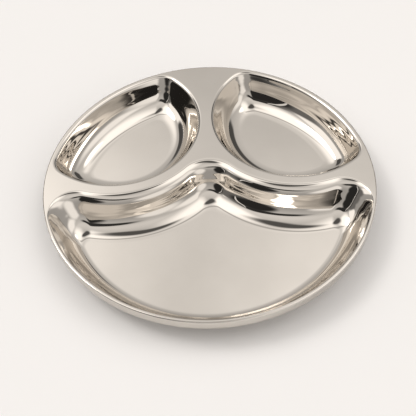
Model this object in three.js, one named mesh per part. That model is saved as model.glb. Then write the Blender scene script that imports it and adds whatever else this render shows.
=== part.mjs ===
// A round three-pocket tiffin plate: one disc of polished stainless steel, pressed to a flat land with two
// small pockets at the back (+Y) and a wide one in front, its edge turned down and curled round a wire.
// Millimetres, +Z up. The plate stands on z = 0 with the middle of its outline on the Z axis.
import * as THREE from "three";

// The sheet and the outside of the plate
const SHEET = 0.7;
const PLATE_RADIUS = 125;
const POCKET_DEPTH = 24; // from the land down to the pocket floors

// Rim: a tight bend at the end of the land, a straight skirt, and a curl closed round the wire
const RIM_BEND = 1.8;
const SKIRT_STRAIGHT = 5;
const WIRE_RADIUS = 1.2;
const WIRE_CLEARANCE = 0.3;
const CURL_SWEEP = THREE.MathUtils.degToRad(285);

// Pocket edges on the land. The outer side of each pocket follows the rim, one land strip away from its bend
const RIM_LAND = 1;
const SMALL_RADIUS = 67;
const MIDDLE_LAND = 7; // between the two small pockets, where they come closest
const SMALL_REACH = 2.5; // how far the small pockets' circles reach in front of the plate's middle
const SMALL_BACK_CORNER = 15;
const SMALL_SIDE_CORNER = 16;
const DIVIDER_LAND = 5.6; // between the small pockets' edges and the large pocket's edge
const LARGE_PEAK_CORNER = 25.5;
const LARGE_END_CORNER = 21.5;

// Walls: each falls over this width, seen from above, from its edge to the flat floor
const SMALL_WALL_RUN = 26;
const SMALL_OUTER_RUN = 24.4;
const LARGE_DIVIDER_RUN = 29.5;
const LARGE_OUTER_RUN = 19.4;

// The walls' section, in shares of a wall's width and height: a bend over the edge, a short straight stretch
// and a wide fillet down to the floor. The widths place the two corners that are rounded, and the heights say
// how far along the straight line between them each rounding reaches
const SMALL_SECTION = { bendWidth: 0.08, bendHeight: 0.08, footWidth: 0.52, footHeight: 0.52 };
const LARGE_SECTION = { bendWidth: 0.15, bendHeight: 0.17, footWidth: 0.52, footHeight: 0.59 };

// Corners of the flat floors
const SMALL_FLOOR_CORNER = 6.5;
const LARGE_FLOOR_PEAK_CORNER = 6.5;
const LARGE_FLOOR_END_CORNER = 3.5;

// Steps along the outlines, round the rim and over each bend
const RIM_STEPS = 96;
const SMALL_STEPS = { own: 24, corner: 6, outer: 12 };
const LARGE_STEPS = { peak: 4, hollow: 12, corner: 6, outer: 14 };
const EDGE_BEND_STEPS = 4;
const FOOT_FILLET_STEPS = 4;
const RIM_BEND_STEPS = 3;
const CURL_STEPS = 8;
const WIRE_SIDES = 8;

const LAND_Z = SHEET + POCKET_DEPTH;
const RIM_BEND_START = PLATE_RADIUS - RIM_BEND;
const POCKET_BOUND = RIM_BEND_START - RIM_LAND;
// The right small pocket's circle keeps its distance from the plate's middle; the left pocket mirrors it
const SMALL_CENTRE = new THREE.Vector2(SMALL_RADIUS + MIDDLE_LAND / 2, SMALL_RADIUS - SMALL_REACH);
const LARGE_HOLLOW = SMALL_RADIUS + DIVIDER_LAND;
const CURL_INSIDE = WIRE_RADIUS + WIRE_CLEARANCE;
const CURL_OUTSIDE = CURL_INSIDE + SHEET;
const CURL_RADIUS = PLATE_RADIUS - CURL_OUTSIDE;
const CURL_Z = LAND_Z - RIM_BEND - SKIRT_STRAIGHT;

const ORIGIN = new THREE.Vector2(0, 0);
const FULL_TURN = 2 * Math.PI;

// Where two circles cross, to the left (1) or right (-1) of the line from the first centre to the second.
function circlesCross(first, firstRadius, second, secondRadius, side) {
  const line = second.clone().sub(first);
  const apart = line.length();
  const along = (firstRadius ** 2 - secondRadius ** 2 + apart ** 2) / (2 * apart);
  const across = Math.sqrt(firstRadius ** 2 - along ** 2);
  const unit = line.divideScalar(apart);
  return new THREE.Vector2(
    first.x + unit.x * along - unit.y * across * side,
    first.y + unit.y * along + unit.x * across * side,
  );
}

const angleFrom = (centre, point) => Math.atan2(point.y - centre.y, point.x - centre.x);

// Points of an arc from one angle to another, the last left to the arc that follows.
// turn is 1 for counterclockwise and -1 for clockwise.
function arcPoints(centre, radius, from, to, turn, steps) {
  const span = THREE.MathUtils.euclideanModulo((to - from) * turn, FULL_TURN) * turn;
  return Array.from({ length: steps }, (_, i) => {
    const angle = from + (span * i) / steps;
    return new THREE.Vector2(centre.x + radius * Math.cos(angle), centre.y + radius * Math.sin(angle));
  });
}

// The right small pocket: a circle cut off by the rim's circle, both crossings rounded. Counterclockwise.
function smallOutline(radius, bound, backCorner, sideCorner) {
  const back = circlesCross(ORIGIN, bound - backCorner, SMALL_CENTRE, radius - backCorner, 1);
  const side = circlesCross(ORIGIN, bound - sideCorner, SMALL_CENTRE, radius - sideCorner, -1);
  const toBack = angleFrom(SMALL_CENTRE, back);
  const toSide = angleFrom(SMALL_CENTRE, side);
  const backAngle = angleFrom(ORIGIN, back);
  const sideAngle = angleFrom(ORIGIN, side);
  return [
    ...arcPoints(SMALL_CENTRE, radius, toBack, toSide, 1, SMALL_STEPS.own),
    ...arcPoints(side, sideCorner, toSide, sideAngle, 1, SMALL_STEPS.corner),
    ...arcPoints(ORIGIN, bound, sideAngle, backAngle, 1, SMALL_STEPS.outer),
    ...arcPoints(back, backCorner, backAngle, toBack, 1, SMALL_STEPS.corner),
  ];
}

const mirrored = (outline) => outline.map((p) => new THREE.Vector2(-p.x, p.y)).reverse();

// The large pocket: the rim's circle less a hollow round each small pocket, with a rounded peak in the middle
// and rounded ends. Counterclockwise.
function largeOutline(hollow, bound, peakCorner, endCorner) {
  const peakY = SMALL_CENTRE.y - Math.sqrt((hollow + peakCorner) ** 2 - SMALL_CENTRE.x ** 2);
  const peak = new THREE.Vector2(0, peakY);
  const end = circlesCross(ORIGIN, bound - endCorner, SMALL_CENTRE, hollow + endCorner, -1);
  const front = -Math.PI / 2;
  const endAngle = angleFrom(ORIGIN, end);
  const hollowAtEnd = angleFrom(SMALL_CENTRE, end);
  const hollowAtPeak = angleFrom(SMALL_CENTRE, peak);
  const rightHalf = [
    ...arcPoints(ORIGIN, bound, front, endAngle, 1, LARGE_STEPS.outer),
    ...arcPoints(end, endCorner, endAngle, hollowAtEnd - Math.PI, 1, LARGE_STEPS.corner),
    ...arcPoints(SMALL_CENTRE, hollow, hollowAtEnd, hollowAtPeak, -1, LARGE_STEPS.hollow),
    ...arcPoints(peak, peakCorner, hollowAtPeak - Math.PI, Math.PI / 2, 1, LARGE_STEPS.peak),
  ];
  const peakTop = new THREE.Vector2(0, peakY + peakCorner);
  const [, ...leftHalf] = rightHalf.map((p) => new THREE.Vector2(-p.x, p.y));
  return [...rightHalf, peakTop, ...leftHalf.reverse()];
}

// One closed surface, gathered triangle by triangle.
class Skin {
  constructor() {
    this.points = [];
  }
  // The flat stretch between an outline and any holes in it.
  flat(outline, holes, z, facesUp) {
    const all = [outline, ...holes].flat();
    for (const [a, b, c] of THREE.ShapeUtils.triangulateShape(outline, holes))
      for (const i of facesUp ? [a, b, c] : [a, c, b]) this.points.push(all[i].x, all[i].y, z);
  }
  // The bands between rings of equal length, each counterclockwise from above. Where the rings grow outwards
  // the surface faces up, and where they shrink it faces down.
  bands(rings) {
    for (let r = 1; r < rings.length; r++) {
      const from = rings[r - 1];
      const to = rings[r];
      from.forEach((a, i) => {
        const next = (i + 1) % from.length;
        for (const p of [a, to[next], from[next], a, to[i], to[next]]) this.points.push(p.x, p.y, p.z);
      });
    }
  }
  geometry() {
    const made = new THREE.BufferGeometry();
    made.setAttribute("position", new THREE.Float32BufferAttribute(this.points, 3));
    made.computeVertexNormals();
    return made;
  }
}

// Points round a corner, from one side of it to the other, with the way the curve heads there.
function roundedCorner(start, corner, end, steps) {
  return Array.from({ length: steps + 1 }, (_, k) => {
    const first = start.clone().lerp(corner, k / steps);
    const second = corner.clone().lerp(end, k / steps);
    return { share: first.clone().lerp(second, k / steps), heading: second.sub(first) };
  });
}

// A wall's section from its edge to its floor, in shares of the wall's width and height.
function wallSection({ bendWidth, bendHeight, footWidth, footHeight }) {
  const edgeCorner = new THREE.Vector2(bendWidth, 0);
  const footCorner = new THREE.Vector2(1 - footWidth, 1);
  const bendEnd = edgeCorner.clone().lerp(footCorner, bendHeight);
  const footStart = footCorner.clone().lerp(edgeCorner, footHeight);
  return [
    ...roundedCorner(new THREE.Vector2(0, 0), edgeCorner, bendEnd, EDGE_BEND_STEPS),
    ...roundedCorner(footStart, footCorner, new THREE.Vector2(1, 1), FOOT_FILLET_STEPS),
  ];
}

// The rings of a pocket wall, from its edge on the land to its floor, on the sheet's top (inset 0) or its
// underside (inset SHEET), which lies one sheet away, square to the top.
function wallRings({ edge, floor, section }, inset) {
  const columns = edge.map((start, i) => {
    const run = start.distanceTo(floor[i]);
    const inward = floor[i].clone().sub(start).divideScalar(run);
    return section.map(({ share, heading }) => {
      const across = heading.x * run;
      const down = heading.y * POCKET_DEPTH;
      const slant = Math.hypot(across, down);
      const foot = start.clone().addScaledVector(inward, share.x * run - (inset * down) / slant);
      const z = LAND_Z - share.y * POCKET_DEPTH - (inset * across) / slant;
      return new THREE.Vector3(foot.x, foot.y, z);
    });
  });
  return columns[0].map((_, ring) => columns.map((column) => column[ring]));
}

// The rim's section, from the top of the land over the bend, down the skirt, round the curl to the cut edge
// and back along the inside of the sheet to the underside of the land.
function rimSection() {
  const section = [];
  const alongBend = (radius, k) => {
    const angle = (Math.PI / 2) * (k / RIM_BEND_STEPS);
    const out = RIM_BEND_START + radius * Math.sin(angle);
    section.push(new THREE.Vector2(out, LAND_Z - RIM_BEND + radius * Math.cos(angle)));
  };
  const alongCurl = (radius, k) => {
    const angle = (-CURL_SWEEP * k) / CURL_STEPS;
    const out = CURL_RADIUS + radius * Math.cos(angle);
    section.push(new THREE.Vector2(out, CURL_Z + radius * Math.sin(angle)));
  };
  for (let k = 0; k <= RIM_BEND_STEPS; k++) alongBend(RIM_BEND, k);
  for (let k = 0; k <= CURL_STEPS; k++) alongCurl(CURL_OUTSIDE, k);
  for (let k = CURL_STEPS; k >= 0; k--) alongCurl(CURL_INSIDE, k);
  for (let k = RIM_BEND_STEPS; k >= 0; k--) alongBend(RIM_BEND - SHEET, k);
  return section;
}

function platePressing() {
  const smallEdge = smallOutline(SMALL_RADIUS, POCKET_BOUND, SMALL_BACK_CORNER, SMALL_SIDE_CORNER);
  const smallFloor = smallOutline(
    SMALL_RADIUS - SMALL_WALL_RUN,
    POCKET_BOUND - SMALL_OUTER_RUN,
    SMALL_FLOOR_CORNER,
    SMALL_FLOOR_CORNER,
  );
  const largeEdge = largeOutline(LARGE_HOLLOW, POCKET_BOUND, LARGE_PEAK_CORNER, LARGE_END_CORNER);
  const largeFloor = largeOutline(
    LARGE_HOLLOW + LARGE_DIVIDER_RUN,
    POCKET_BOUND - LARGE_OUTER_RUN,
    LARGE_FLOOR_PEAK_CORNER,
    LARGE_FLOOR_END_CORNER,
  );
  const smallSection = wallSection(SMALL_SECTION);
  const largeSection = wallSection(LARGE_SECTION);
  const pockets = [
    { edge: smallEdge, floor: smallFloor, section: smallSection },
    { edge: mirrored(smallEdge), floor: mirrored(smallFloor), section: smallSection },
    { edge: largeEdge, floor: largeFloor, section: largeSection },
  ];

  const landOutline = Array.from({ length: RIM_STEPS }, (_, i) =>
    new THREE.Vector2(RIM_BEND_START, 0).rotateAround(ORIGIN, (FULL_TURN * i) / RIM_STEPS),
  );
  const rimRings = rimSection().map(({ x: out, y: z }) =>
    landOutline.map((p) => {
      const share = out / RIM_BEND_START;
      return new THREE.Vector3(p.x * share, p.y * share, z);
    }),
  );

  const skin = new Skin();
  const holes = pockets.map(({ edge }) => edge);
  skin.flat(landOutline, holes, LAND_Z, true);
  skin.flat(landOutline, holes, LAND_Z - SHEET, false);
  skin.bands(rimRings);
  for (const pocket of pockets) {
    skin.bands(wallRings(pocket, 0).reverse());
    skin.flat(pocket.floor, [], SHEET, true);
    skin.bands(wallRings(pocket, SHEET));
    skin.flat(pocket.floor, [], 0, false);
  }
  return skin.geometry();
}

const pressing = new THREE.Mesh(
  platePressing(),
  new THREE.MeshStandardMaterial({ color: 0xcfc8be, roughness: 0.08, metalness: 1 }),
);
pressing.name = "plate_pressing";

const wire = new THREE.Mesh(
  new THREE.TorusGeometry(CURL_RADIUS, WIRE_RADIUS, WIRE_SIDES, RIM_STEPS),
  new THREE.MeshStandardMaterial({ color: 0xa9a49c, roughness: 0.35, metalness: 1 }),
);
wire.name = "edge_wire";
wire.position.z = CURL_Z;

const plate = new THREE.Group();
plate.add(pressing, wire);

export default plate;
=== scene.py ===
import math

import bmesh
import bpy
from mathutils import Matrix, Quaternion, Vector
from mathutils.geometry import intersect_sphere_sphere_2d


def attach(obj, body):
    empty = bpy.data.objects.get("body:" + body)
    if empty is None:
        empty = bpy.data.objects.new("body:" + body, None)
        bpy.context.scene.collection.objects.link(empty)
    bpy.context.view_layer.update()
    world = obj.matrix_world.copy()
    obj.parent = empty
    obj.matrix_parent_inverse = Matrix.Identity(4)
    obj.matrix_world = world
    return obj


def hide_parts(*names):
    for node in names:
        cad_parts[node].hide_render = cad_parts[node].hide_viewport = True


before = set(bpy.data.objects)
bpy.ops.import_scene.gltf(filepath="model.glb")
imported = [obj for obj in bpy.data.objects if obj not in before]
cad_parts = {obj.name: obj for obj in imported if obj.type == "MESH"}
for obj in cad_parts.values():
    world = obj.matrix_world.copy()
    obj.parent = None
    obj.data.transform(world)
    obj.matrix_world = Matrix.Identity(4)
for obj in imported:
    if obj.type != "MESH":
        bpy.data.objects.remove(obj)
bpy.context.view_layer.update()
bpy.context.scene.view_settings.view_transform = "Standard"


# Plate pressing: one disc of stainless steel sheet, drawn in a press to a flat land with three pockets,
# its edge turned down and curled in round a wire, and the whole sheet polished to a mirror.
SHEET = 0.0007
PLATE_RADIUS = 0.125
POCKET_DEPTH = 0.024
LAND_Z = SHEET + POCKET_DEPTH
MIDDLE = Vector((0.0, 0.0))
FULL_TURN = 2 * math.pi
FLAT_MARGIN = 0.0004  # a strip of flat sheet that is kept beside each bend
COLLAR_SHARE = 0.015  # the same strip at a pocket's edge, as a share of the wall's width
CLOSING = 1e-5  # ends of the sheet nearer than this are one
BEND_STEPS = 10
FOOT_STEPS = 18
pressing_data = bpy.data.meshes.new("plate_pressing_polished")
pressing_mesh = bmesh.new()


def join_to(whole, stretch):
    """Adds a drawn stretch of the sheet to the whole."""
    stretch.to_mesh(pressing_data)
    stretch.free()
    whole.from_mesh(pressing_data)


def end_of(swept):
    """The point that a sweep of one point ends in."""
    return next(g for g in swept["geom_last"] if isinstance(g, bmesh.types.BMVert))


def sweep_outline(ring, start, height, arcs):
    """Carries one point through a chain of arcs (centre, turn, steps) back to its start."""
    tip = ring.verts.new((start.x, start.y, height))
    for centre, turn, steps in arcs:
        tip = end_of(bmesh.ops.spin(
            ring, geom=[tip], cent=(centre.x, centre.y, height), axis=(0, 0, 1), angle=turn, steps=steps))
    bmesh.ops.remove_doubles(ring, verts=ring.verts, dist=CLOSING)


def angle_of(point, centre):
    return math.atan2(point.y - centre.y, point.x - centre.x)


def turn_between(start, end):
    """The counterclockwise turn from one angle to another."""
    return (end - start) % FULL_TURN


def crossing_at(first, first_radius, second, second_radius, left):
    """Where two circles cross, on the left or the right of the line between their centres."""
    line = second - first
    points = intersect_sphere_sphere_2d(first, first_radius, second, second_radius)
    return next(p for p in points if (line.cross(p - first) > 0) == left)


def round_corner(start, corner, end, steps):
    """Points on a smooth curve that rounds a corner."""
    shares = [step / steps for step in range(steps + 1)]
    return [start.lerp(corner, share).lerp(corner.lerp(end, share), share) for share in shares]


def wall_section(bend_width, bend_height, foot_width, foot_height):
    """A wall from its edge to its floor, in shares of its width and height: bend, straight, fillet."""
    edge_corner, foot_corner = Vector((bend_width, 0)), Vector((1 - foot_width, 1))
    bend_end = edge_corner.lerp(foot_corner, bend_height)
    foot_start = foot_corner.lerp(edge_corner, foot_height)
    return (
        round_corner(Vector((0, 0)), edge_corner, bend_end, BEND_STEPS)
        + round_corner(foot_start, foot_corner, Vector((1, 1)), FOOT_STEPS))


def draw_pocket(outline, edge, floor, section, outer_section):
    """A pocket's skin from its edge to its floor. outline(ring, sizes, height) draws it at one height, and
    the outer section is for the wall along the rim; it has the same heights as the other one."""
    sheet = bmesh.new()
    rings = []
    collar = [(-COLLAR_SHARE, 0, -COLLAR_SHARE)]
    wall = [(inner.x, inner.y, outer.x) for inner, outer in zip(section, outer_section)]
    for across, down, outer_across in collar + wall:
        shares = {name: outer_across if name == "bound" else across for name in edge}
        sizes = {name: edge[name] + shares[name] * (floor[name] - edge[name]) for name in edge}
        ring = bmesh.new()
        outline(ring, sizes, LAND_Z - down * POCKET_DEPTH)
        ring_edges = len(ring.edges)
        join_to(sheet, ring)
        sheet.edges.ensure_lookup_table()
        rings.append(sheet.edges[-ring_edges:])
    for upper, lower in zip(rings, rings[1:]):
        bmesh.ops.bridge_loops(sheet, edges=upper + lower)
    flat = bmesh.ops.edgeloop_fill(sheet, edges=rings[-1])["faces"]
    bmesh.ops.inset_individual(sheet, faces=flat, thickness=FLAT_MARGIN, use_even_offset=True)
    return sheet


# The right small pocket: a circle cut off by the rim's circle, with both crossings rounded. The left one is
# its mirror image
SMALL_CENTRE = Vector((0.0705, 0.0645))
SMALL_EDGE = {"radius": 0.067, "bound": 0.1228, "back": 0.015, "side": 0.016}
SMALL_FLOOR = {"radius": 0.041, "bound": 0.0978, "back": 0.0065, "side": 0.0065}
SMALL_SECTION = wall_section(bend_width=0.08, bend_height=0.08, foot_width=0.52, foot_height=0.52)
SMALL_ROUND_STEPS = 120
SMALL_CORNER_STEPS = 18
SMALL_BOUND_STEPS = 60


def small_outline(ring, sizes, height):
    radius, bound = sizes["radius"], sizes["bound"]
    back_corner, side_corner = sizes["back"], sizes["side"]
    back = crossing_at(MIDDLE, bound - back_corner, SMALL_CENTRE, radius - back_corner, True)
    side = crossing_at(MIDDLE, bound - side_corner, SMALL_CENTRE, radius - side_corner, False)
    to_back, to_side = angle_of(back, SMALL_CENTRE), angle_of(side, SMALL_CENTRE)
    back_out, side_out = angle_of(back, MIDDLE), angle_of(side, MIDDLE)
    start = SMALL_CENTRE + radius * Vector((math.cos(to_back), math.sin(to_back)))
    sweep_outline(ring, start, height, (
        (SMALL_CENTRE, turn_between(to_back, to_side), SMALL_ROUND_STEPS),
        (side, turn_between(to_side, side_out), SMALL_CORNER_STEPS),
        (MIDDLE, turn_between(side_out, back_out), SMALL_BOUND_STEPS),
        (back, turn_between(back_out, to_back), SMALL_CORNER_STEPS),
    ))


small_pocket = draw_pocket(small_outline, SMALL_EDGE, SMALL_FLOOR, SMALL_SECTION, SMALL_SECTION)
bmesh.ops.mirror(
    small_pocket, geom=small_pocket.verts[:] + small_pocket.edges[:] + small_pocket.faces[:],
    matrix=Matrix.Identity(4), merge_dist=CLOSING, axis="X")
join_to(pressing_mesh, small_pocket)

# The large pocket: the rim's circle less a hollow round each small pocket, which leaves a rounded peak
LARGE_EDGE = {"hollow": 0.0726, "bound": 0.123, "peak": 0.0255, "end": 0.0215}
LARGE_FLOOR = {"hollow": 0.1021, "bound": 0.1028, "peak": 0.0065, "end": 0.0035}
LARGE_SECTION = wall_section(bend_width=0.2, bend_height=0.26, foot_width=0.46, foot_height=0.48)
OUTER_SECTION = wall_section(bend_width=0.03, bend_height=0.26, foot_width=0.36, foot_height=0.48)
LARGE_BOUND_STEPS = 220
LARGE_END_STEPS = 30
HOLLOW_STEPS = 60
PEAK_STEPS = 28


def large_outline(ring, sizes, height):
    hollow, bound = sizes["hollow"], sizes["bound"]
    peak_corner, end_corner = sizes["peak"], sizes["end"]
    left_centre = Vector((-SMALL_CENTRE.x, SMALL_CENTRE.y))
    end = crossing_at(MIDDLE, bound - end_corner, SMALL_CENTRE, hollow + end_corner, False)
    peak = crossing_at(left_centre, hollow + peak_corner, SMALL_CENTRE, hollow + peak_corner, False)
    left_end = Vector((-end.x, end.y))
    end_out = angle_of(end, MIDDLE)
    to_end, to_peak = angle_of(end, SMALL_CENTRE), angle_of(peak, SMALL_CENTRE)
    end_turn = turn_between(end_out, to_end + math.pi)
    hollow_turn = -turn_between(to_peak, to_end)
    peak_turn = turn_between(to_peak + math.pi, -to_peak)
    start = bound * Vector((-math.cos(end_out), math.sin(end_out)))
    sweep_outline(ring, start, height, (
        (MIDDLE, turn_between(math.pi - end_out, end_out), LARGE_BOUND_STEPS),
        (end, end_turn, LARGE_END_STEPS),
        (SMALL_CENTRE, hollow_turn, HOLLOW_STEPS),
        (peak, peak_turn, PEAK_STEPS),
        (left_centre, hollow_turn, HOLLOW_STEPS),
        (left_end, end_turn, LARGE_END_STEPS),
    ))


large_pocket = draw_pocket(large_outline, LARGE_EDGE, LARGE_FLOOR, LARGE_SECTION, OUTER_SECTION)
join_to(pressing_mesh, large_pocket)

# The rim's section goes over a tight bend, straight down the skirt and round the curl, and is spun once
RIM_BEND = 0.001
RIM_BEND_STEPS = 10
SKIRT_STRAIGHT = 0.0058
CURL_OUTSIDE = 0.0022
CURL_SWEEP = math.radians(285)
CURL_STEPS = 24
RIM_STEPS = 300
bend_start = PLATE_RADIUS - RIM_BEND
curl_radius = PLATE_RADIUS - CURL_OUTSIDE
curl_z = LAND_Z - RIM_BEND - SKIRT_STRAIGHT
rim = bmesh.new()


def draw_bend(tip, centre, turn, steps):
    """Carries the section's tip round a bend, outwards and down."""
    return end_of(bmesh.ops.spin(rim, geom=[tip], cent=centre, axis=(0, 1, 0), angle=turn, steps=steps))


def draw_straight(tip, step):
    drawn = bmesh.ops.extrude_vert_indiv(rim, verts=[tip])["verts"]
    bmesh.ops.translate(rim, verts=drawn, vec=step)
    return drawn[0]


tip = rim.verts.new((bend_start - FLAT_MARGIN, 0, LAND_Z))
tip = draw_straight(tip, (FLAT_MARGIN, 0, 0))
tip = draw_bend(tip, (bend_start, 0, LAND_Z - RIM_BEND), math.pi / 2, RIM_BEND_STEPS)
tip = draw_straight(tip, (0, 0, -SKIRT_STRAIGHT))
draw_bend(tip, (curl_radius, 0, curl_z), CURL_SWEEP, CURL_STEPS)
bmesh.ops.spin(
    rim, geom=rim.verts[:] + rim.edges[:], cent=(0, 0, 0), axis=(0, 0, 1), angle=FULL_TURN,
    steps=RIM_STEPS, use_merge=True)
join_to(pressing_mesh, rim)

# The land is the flat sheet that is left between the rim and the three pockets. The sheet's thickness lies
# below the skin that was drawn, so the skin is turned to face up first
SHARP_ANGLE = math.radians(50)
land_border = [
    e for e in pressing_mesh.edges
    if e.is_boundary and all(abs(v.co.z - LAND_Z) < CLOSING for v in e.verts)]
bmesh.ops.triangle_fill(pressing_mesh, edges=land_border, use_beauty=True, normal=(0, 0, 1))
bmesh.ops.remove_doubles(pressing_mesh, verts=pressing_mesh.verts, dist=CLOSING)
bmesh.ops.recalc_face_normals(pressing_mesh, faces=pressing_mesh.faces)
topmost = max(pressing_mesh.faces, key=lambda face: face.calc_center_median().z)
if topmost.normal.z < 0:
    bmesh.ops.reverse_faces(pressing_mesh, faces=pressing_mesh.faces)
pressing_mesh.normal_update()
bmesh.ops.solidify(pressing_mesh, geom=pressing_mesh.faces[:], thickness=SHEET)
bmesh.ops.recalc_face_normals(pressing_mesh, faces=pressing_mesh.faces)
for face in pressing_mesh.faces:
    face.smooth = True
for edge in pressing_mesh.edges:
    edge.smooth = edge.calc_face_angle(0) < SHARP_ANGLE
pressing_mesh.to_mesh(pressing_data)
pressing_mesh.free()
pressing = bpy.data.objects.new("plate_pressing_polished", pressing_data)
bpy.context.scene.collection.objects.link(pressing)

# Its finish: bare steel under a mirror polish. The drawn walls are left very slightly wavy, in long waves
# that follow the pockets round, and polishing leaves cloudy spots and fine scratches
STEEL_TINTS = ((0.62, 0.585, 0.54), (0.65, 0.615, 0.57))
TINT_SCALE = (22, 22, 22)
TINT_SPREAD = (0.35, 0.65)
STEEL_ROUGHNESS = (0.012, 0.035)
CLOUD_SCALE = (60, 60, 160)
CLOUD_SPREAD = (0.35, 0.7)
WAVE_SCALE = (30, 30, 260)
WAVE_DEPTH = 0.00016
SCRATCH_SCALE = (2600, 260, 900)
SCRATCH_DEPTH = 0.0000012
steel = bpy.data.materials.new("polished_steel")
steel.use_nodes = True
finish = steel.node_tree
shader = finish.nodes["Principled BSDF"]
shader.inputs["Metallic"].default_value = 1
place = finish.nodes.new("ShaderNodeTexCoord")


def steel_noise(scale, detail):
    """Noise over the sheet, with its own scale in x, y and z (per metre)."""
    stretch = finish.nodes.new("ShaderNodeMapping")
    stretch.inputs["Scale"].default_value = scale
    finish.links.new(place.outputs["Object"], stretch.inputs["Vector"])
    noise = finish.nodes.new("ShaderNodeTexNoise")
    noise.inputs["Scale"].default_value = 1
    noise.inputs["Detail"].default_value = detail
    finish.links.new(stretch.outputs["Vector"], noise.inputs["Vector"])
    return noise.outputs["Fac"]


tint = finish.nodes.new("ShaderNodeValToRGB")
for element, position, colour in zip(tint.color_ramp.elements, TINT_SPREAD, STEEL_TINTS):
    element.position = position
    element.color = (*colour, 1)
finish.links.new(steel_noise(TINT_SCALE, detail=3), tint.inputs["Fac"])
finish.links.new(tint.outputs["Color"], shader.inputs["Base Color"])
cloudiness = finish.nodes.new("ShaderNodeMapRange")
cloudiness.inputs["From Min"].default_value, cloudiness.inputs["From Max"].default_value = CLOUD_SPREAD
cloudiness.inputs["To Min"].default_value, cloudiness.inputs["To Max"].default_value = STEEL_ROUGHNESS
finish.links.new(steel_noise(CLOUD_SCALE, detail=5), cloudiness.inputs["Value"])
finish.links.new(cloudiness.outputs["Result"], shader.inputs["Roughness"])
waves = finish.nodes.new("ShaderNodeBump")
waves.inputs["Distance"].default_value = WAVE_DEPTH
finish.links.new(steel_noise(WAVE_SCALE, detail=0), waves.inputs["Height"])
scratches = finish.nodes.new("ShaderNodeBump")
scratches.inputs["Distance"].default_value = SCRATCH_DEPTH
finish.links.new(steel_noise(SCRATCH_SCALE, detail=4), scratches.inputs["Height"])
finish.links.new(waves.outputs["Normal"], scratches.inputs["Normal"])
finish.links.new(scratches.outputs["Normal"], shader.inputs["Normal"])
pressing_data.materials.append(steel)
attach(pressing, "root")
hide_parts("plate_pressing")

# Edge wire: a ring of drawn steel wire inside the curl, butted end to end, which stiffens the rim. The curl
# is closed over it, so it is only clamped there.
WIRE_RADIUS = 0.0012
WIRE_SIDES = 20
WIRE_STEPS = 240
wire_mesh = bmesh.new()
wire_circle = bmesh.ops.create_circle(wire_mesh, segments=WIRE_SIDES, radius=WIRE_RADIUS)["verts"]
bmesh.ops.rotate(
    wire_mesh, verts=wire_circle, cent=(0, 0, 0), matrix=Matrix.Rotation(math.pi / 2, 3, "X"))
bmesh.ops.translate(wire_mesh, verts=wire_circle, vec=(curl_radius, 0, curl_z))
bmesh.ops.spin(
    wire_mesh, geom=wire_mesh.verts[:] + wire_mesh.edges[:], cent=(0, 0, 0), axis=(0, 0, 1),
    angle=FULL_TURN, steps=WIRE_STEPS, use_merge=True)
bmesh.ops.remove_doubles(wire_mesh, verts=wire_mesh.verts, dist=CLOSING)
bmesh.ops.recalc_face_normals(wire_mesh, faces=wire_mesh.faces)
for face in wire_mesh.faces:
    face.smooth = True
wire_data = bpy.data.meshes.new("edge_wire_drawn")
wire_mesh.to_mesh(wire_data)
wire_mesh.free()
wire = bpy.data.objects.new("edge_wire_drawn", wire_data)
bpy.context.scene.collection.objects.link(wire)

# Its finish: dull steel with the long fine lines that the drawing die leaves, which run round the ring
WIRE_TINTS = ((0.55, 0.53, 0.5), (0.62, 0.6, 0.57))
WIRE_ROUGHNESS = (0.28, 0.45)
DIE_LINE_SCALE = 5000
DIE_LINE_DETAIL = 3
DIE_LINE_DEPTH = 0.00001
wire_steel = bpy.data.materials.new("wire_steel")
wire_steel.use_nodes = True
drawing = wire_steel.node_tree
wire_shader = drawing.nodes["Principled BSDF"]
wire_shader.inputs["Metallic"].default_value = 1
wire_place = drawing.nodes.new("ShaderNodeTexCoord")
wire_height = drawing.nodes.new("ShaderNodeSeparateXYZ")
drawing.links.new(wire_place.outputs["Object"], wire_height.inputs["Vector"])
across_ring = drawing.nodes.new("ShaderNodeVectorMath")
across_ring.operation = "MULTIPLY"
across_ring.inputs[1].default_value = (1, 1, 0)
drawing.links.new(wire_place.outputs["Object"], across_ring.inputs[0])
from_middle = drawing.nodes.new("ShaderNodeVectorMath")
from_middle.operation = "LENGTH"
drawing.links.new(across_ring.outputs["Vector"], from_middle.inputs[0])
die_lines = drawing.nodes.new("ShaderNodeCombineXYZ")
drawing.links.new(from_middle.outputs["Value"], die_lines.inputs["X"])
drawing.links.new(wire_height.outputs["Z"], die_lines.inputs["Y"])
die_noise = drawing.nodes.new("ShaderNodeTexNoise")
die_noise.inputs["Scale"].default_value = DIE_LINE_SCALE
die_noise.inputs["Detail"].default_value = DIE_LINE_DETAIL
drawing.links.new(die_lines.outputs["Vector"], die_noise.inputs["Vector"])
wire_tint = drawing.nodes.new("ShaderNodeValToRGB")
for element, colour in zip(wire_tint.color_ramp.elements, WIRE_TINTS):
    element.color = (*colour, 1)
drawing.links.new(die_noise.outputs["Fac"], wire_tint.inputs["Fac"])
drawing.links.new(wire_tint.outputs["Color"], wire_shader.inputs["Base Color"])
dullness = drawing.nodes.new("ShaderNodeMapRange")
dullness.inputs["To Min"].default_value, dullness.inputs["To Max"].default_value = WIRE_ROUGHNESS
drawing.links.new(die_noise.outputs["Fac"], dullness.inputs["Value"])
drawing.links.new(dullness.outputs["Result"], wire_shader.inputs["Roughness"])
wire_relief = drawing.nodes.new("ShaderNodeBump")
wire_relief.inputs["Distance"].default_value = DIE_LINE_DEPTH
drawing.links.new(die_noise.outputs["Fac"], wire_relief.inputs["Height"])
drawing.links.new(wire_relief.outputs["Normal"], wire_shader.inputs["Normal"])
wire_data.materials.append(wire_steel)
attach(wire, "root")
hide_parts("edge_wire")

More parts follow.
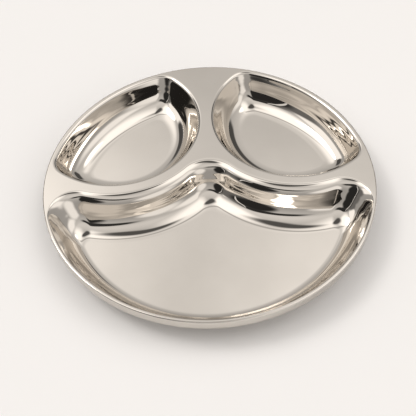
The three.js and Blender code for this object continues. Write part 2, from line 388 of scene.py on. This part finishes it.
# Camera: above the front edge, looking down at the plate as the photograph does
VIEW_DISTANCE = 0.65
VIEW_RISE = math.radians(50.23)
VIEW_TURN = math.radians(0.6)
VIEW_ROLL = math.radians(-2.34)
AIM_DOWN = 0.0199
AIM_LEFT = 0.0018
VIEW_DEPTH = 0.0141  # below the land
LENS = 73.48
view_middle = Vector((0, 0, LAND_Z - VIEW_DEPTH))
camera_data = bpy.data.cameras.new("camera")
camera_data.lens = LENS
camera = bpy.data.objects.new("camera", camera_data)
bpy.context.scene.collection.objects.link(camera)
bpy.context.scene.camera = camera
away = Vector((
    -math.sin(VIEW_TURN) * math.cos(VIEW_RISE),
    -math.cos(VIEW_TURN) * math.cos(VIEW_RISE),
    math.sin(VIEW_RISE)))
camera.location = view_middle + VIEW_DISTANCE * away
camera.rotation_mode = "QUATERNION"
camera.rotation_quaternion = (
    (-away).to_track_quat("-Z", "Y")
    @ Quaternion((0, 0, 1), VIEW_ROLL)
    @ Quaternion((0, 1, 0), AIM_LEFT)
    @ Quaternion((1, 0, 0), -AIM_DOWN))

# Floor: a plain pale table top, so wide that low views don't show its end
FLOOR_HALF = 30
FLOOR_COLOUR = (0.88, 0.872, 0.867)
FLOOR_ROUGHNESS = 0.9
floor_mesh = bmesh.new()
bmesh.ops.create_grid(floor_mesh, x_segments=1, y_segments=1, size=FLOOR_HALF)
floor_data = bpy.data.meshes.new("floor")
floor_mesh.to_mesh(floor_data)
floor_mesh.free()
floor = bpy.data.objects.new("floor", floor_data)
bpy.context.scene.collection.objects.link(floor)
floor_paint = bpy.data.materials.new("floor_paint")
floor_paint.use_nodes = True
floor_shader = floor_paint.node_tree.nodes["Principled BSDF"]
floor_shader.inputs["Base Color"].default_value = (*FLOOR_COLOUR, 1)
floor_shader.inputs["Roughness"].default_value = FLOOR_ROUGHNESS
floor_data.materials.append(floor_paint)

# Studio: pale walls, two broad softboxes high at the left and the right, reflectors beside them, and dark
# flags behind the camera, low at the back and overhead, which give polished steel its dark streaks. It is the
# only light. The walls' levels go with the sine of the rise above the table. Each patch has its azimuth from
# the back of the plate (positive to the right), its rise, its half width and its half height, all in degrees,
# then its level, and the share of it that is firm before it fades.
ROOM_WARMTH = (1.0, 0.965, 0.93)
ROOM_LEVELS = (
    (0.0, 0.5), (0.17, 0.48), (0.42, 0.6), (0.71, 0.8), (0.82, 0.95), (0.91, 0.92), (1.0, 0.7))
ROOM_PATCHES = (
    ("left_softbox", -67, 63, 37, 22, 1.8, 0.4),
    ("left_softbox_core", -66, 51, 15, 11, 8.0, 0.7),
    ("left_reflector", -84, 33, 44, 13, 1.5, 0.6),
    ("back_left_reflector", -34, 53, 26, 10, 1.6, 0.2),
    ("right_softbox", 64, 66, 35, 21, 1.7, 0.3),
    ("right_softbox_core", 56, 52, 9, 7, 2.2, 0.7),
    ("right_reflector", 102, 33, 40, 17, 1.35, 0.4),
    ("dark_corner", -128, 20, 34, 22, 0.2, 0.7),
    ("dark_corner_core", -140, 22, 24, 24, 0.03, 0.6),
    ("front_right_reflector", 146, 17, 27, 18, 1.25, 0.4),
    ("front_flag", 204, 46, 38, 9, 0.04, 0.6),
    ("right_flag", 35, 27, 24, 11, 0.1, 0.6),
    ("left_flag", -37, 28, 24, 11, 0.1, 0.6),
    ("back_batten", 0, 63, 26, 3.5, 0.62, 0.3),
    ("overhead_flag", -2, 84, 14, 13, 0.12, 0.45),
    ("pale_stand", -126, 27, 1.3, 22, 1.0, 0.6),
)
ROOM_UNEVENNESS = 0.22  # how far a smooth noise pushes the patches' outlines
ROOM_NOISE_SCALE = 2.2
world = bpy.data.worlds.new("studio")
bpy.context.scene.world = world
world.use_nodes = True
room = world.node_tree
room_light = room.nodes["Background"]
room_light.inputs["Color"].default_value = (*ROOM_WARMTH, 1)
direction = room.nodes.new("ShaderNodeTexCoord")
room_height = room.nodes.new("ShaderNodeSeparateXYZ")
room.links.new(direction.outputs["Generated"], room_height.inputs["Vector"])
room_wall = room.nodes.new("ShaderNodeFloatCurve")
room.links.new(room_height.outputs["Z"], room_wall.inputs["Value"])
wall_curve = room_wall.mapping.curves[0]
while len(wall_curve.points) < len(ROOM_LEVELS):
    wall_curve.points.new(0.5, 0.5)
for point, location in zip(wall_curve.points, ROOM_LEVELS):
    point.location = location
room_wall.mapping.update()
room_noise = room.nodes.new("ShaderNodeTexNoise")
room_noise.inputs["Scale"].default_value = ROOM_NOISE_SCALE
room_noise.inputs["Detail"].default_value = 0
room.links.new(direction.outputs["Generated"], room_noise.inputs["Vector"])
pushed = room.nodes.new("ShaderNodeVectorMath")
pushed.operation = "MULTIPLY_ADD"
pushed.inputs[1].default_value = 3 * (ROOM_UNEVENNESS,)
room.links.new(room_noise.outputs["Color"], pushed.inputs[0])
room.links.new(direction.outputs["Generated"], pushed.inputs[2])
uneven = room.nodes.new("ShaderNodeVectorMath")
uneven.operation = "SUBTRACT"
uneven.inputs[1].default_value = 3 * (ROOM_UNEVENNESS / 2,)
room.links.new(pushed.outputs["Vector"], uneven.inputs[0])
level_so_far = room_wall.outputs["Value"]
for name, azimuth, rise, half_width, half_height, level, firm_share in ROOM_PATCHES:
    azimuth, rise = math.radians(azimuth), math.radians(rise)
    middle = Vector((
        math.sin(azimuth) * math.cos(rise), math.cos(azimuth) * math.cos(rise), math.sin(rise)))
    spread = room.nodes.new("ShaderNodeMapping")
    spread.vector_type = "TEXTURE"
    spread.inputs["Location"].default_value = middle
    spread.inputs["Rotation"].default_value = middle.to_track_quat("Z", "Y").to_euler()
    spread.inputs["Scale"].default_value = (
        math.sin(math.radians(half_width)), math.sin(math.radians(half_height)), 1)
    room.links.new(uneven.outputs["Vector"], spread.inputs["Vector"])
    away_from_middle = room.nodes.new("ShaderNodeVectorMath")
    away_from_middle.operation = "LENGTH"
    room.links.new(spread.outputs["Vector"], away_from_middle.inputs[0])
    fade = room.nodes.new("ShaderNodeMapRange")
    fade.interpolation_type = "SMOOTHSTEP"
    fade.inputs["From Min"].default_value = firm_share
    fade.inputs["From Max"].default_value = 1
    fade.inputs["To Min"].default_value = 1
    fade.inputs["To Max"].default_value = 0
    room.links.new(away_from_middle.outputs["Value"], fade.inputs["Value"])
    patch = room.nodes.new("ShaderNodeMix")  # its inputs 2 and 3 are the two plain numbers
    patch.label = name
    patch.inputs[3].default_value = level
    room.links.new(fade.outputs["Result"], patch.inputs["Factor"])
    room.links.new(level_so_far, patch.inputs[2])
    level_so_far = patch.outputs[0]
room.links.new(level_so_far, room_light.inputs["Strength"])
